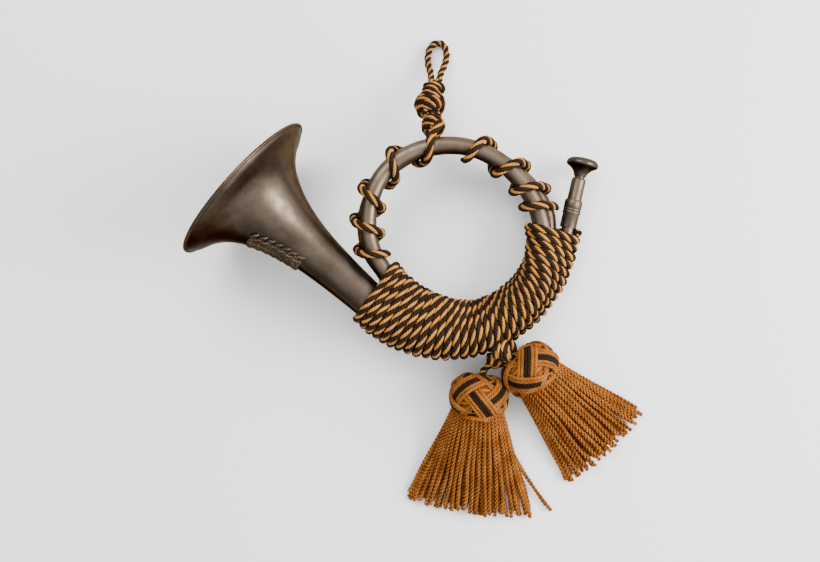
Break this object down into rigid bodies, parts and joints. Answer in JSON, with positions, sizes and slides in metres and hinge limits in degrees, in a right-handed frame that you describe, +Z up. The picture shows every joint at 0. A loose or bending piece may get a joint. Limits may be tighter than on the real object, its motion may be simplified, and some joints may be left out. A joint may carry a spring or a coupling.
{
  "type": "hunting bugle",
  "caption": "Coiled brass bugle with a flared bell, a push-in mouthpiece, a twisted cord binding, a knotted hanging loop and tassels.",
  "frame": {"origin": "middle of the footprint, on the surface that the object lies on, leaving out the hanging loop's cord", "axes": "+Z up from the surface that the horn lies flat on, +Y from the tassels towards the hanging loop, +X towards the mouthpiece, -X towards the bell"},
  "size_m": [0.3609, 0.3982, 0.1353],
  "materials": {
    "antique_brass": "satin, aged brown lacquer",
    "brass_fittings": "satin, darker in the corners",
    "mouthpiece_brass": "satin, polished at the rim",
    "twisted_cord": "twist of gold and near-black strands",
    "tassel_yarn": "plied yarn, orange-brown",
    "turned_wood": "plain turned wood, hidden inside the head"
  },
  "bodies": {
    "horn": {"back_stay": "brass_fittings", "bell": "antique_brass", "bell_ferrule": "brass_fittings", "bell_ornament": "brass_fittings", "bell_rim": "brass_fittings", "bell_tail": "antique_brass", "coil_ferrule": "brass_fittings", "cord_binding": "twisted_cord", "first_coil_tube": "antique_brass", "front_stay": "brass_fittings", "leadpipe": "antique_brass", "leadpipe_ferrule": "brass_fittings", "left_winding": "twisted_cord", "lower_knot": "twisted_cord", "mouthpiece_receiver": "brass_fittings", "receiver_ferrule": "brass_fittings", "right_winding": "twisted_cord", "second_coil_tube": "antique_brass", "tail_ferrule": "brass_fittings", "tassel_knot": "twisted_cord"},
    "mouthpiece": {"mouthpiece": "mouthpiece_brass"},
    "hanging_loop": {"middle_knot": "twisted_cord", "upper_knot": "twisted_cord", "hanging_loop_cord": "twisted_cord"},
    "left_tassel": {"left_tassel_cord": "twisted_cord", "left_tassel_core": "turned_wood", "left_tassel_head": "tassel_yarn", "left_tassel_neck_binding": "tassel_yarn", "left_tassel_skirt": "tassel_yarn"},
    "right_tassel": {"right_tassel_cord": "twisted_cord", "right_tassel_core": "turned_wood", "right_tassel_head": "tassel_yarn", "right_tassel_neck_binding": "tassel_yarn", "right_tassel_skirt": "tassel_yarn"}
  },
  "joints": [
    {"name": "mouthpiece_slide", "type": "slide", "parent": "horn", "child": "mouthpiece", "axis": [0.228, 0.9731, 0.0333], "range_m": [0, 0.022]},
    {"name": "hanging_loop_hinge", "type": "hinge", "parent": "horn", "child": "hanging_loop", "pos_m": [0.0115, 0.1482, 0.0323], "axis": [1, 0, 0], "range_deg": [0, 50]},
    {"name": "left_tassel_swing", "type": "hinge", "parent": "horn", "child": "left_tassel", "pos_m": [0.0585, -0.0562, 0.026], "axis": [0, 0, 1], "range_deg": [-25, 0]},
    {"name": "right_tassel_lift", "type": "hinge", "parent": "horn", "child": "right_tassel", "pos_m": [0.0715, -0.0484, 0.026], "axis": [-0.7314, -0.682, 0], "range_deg": [0, 15]}
  ]
}
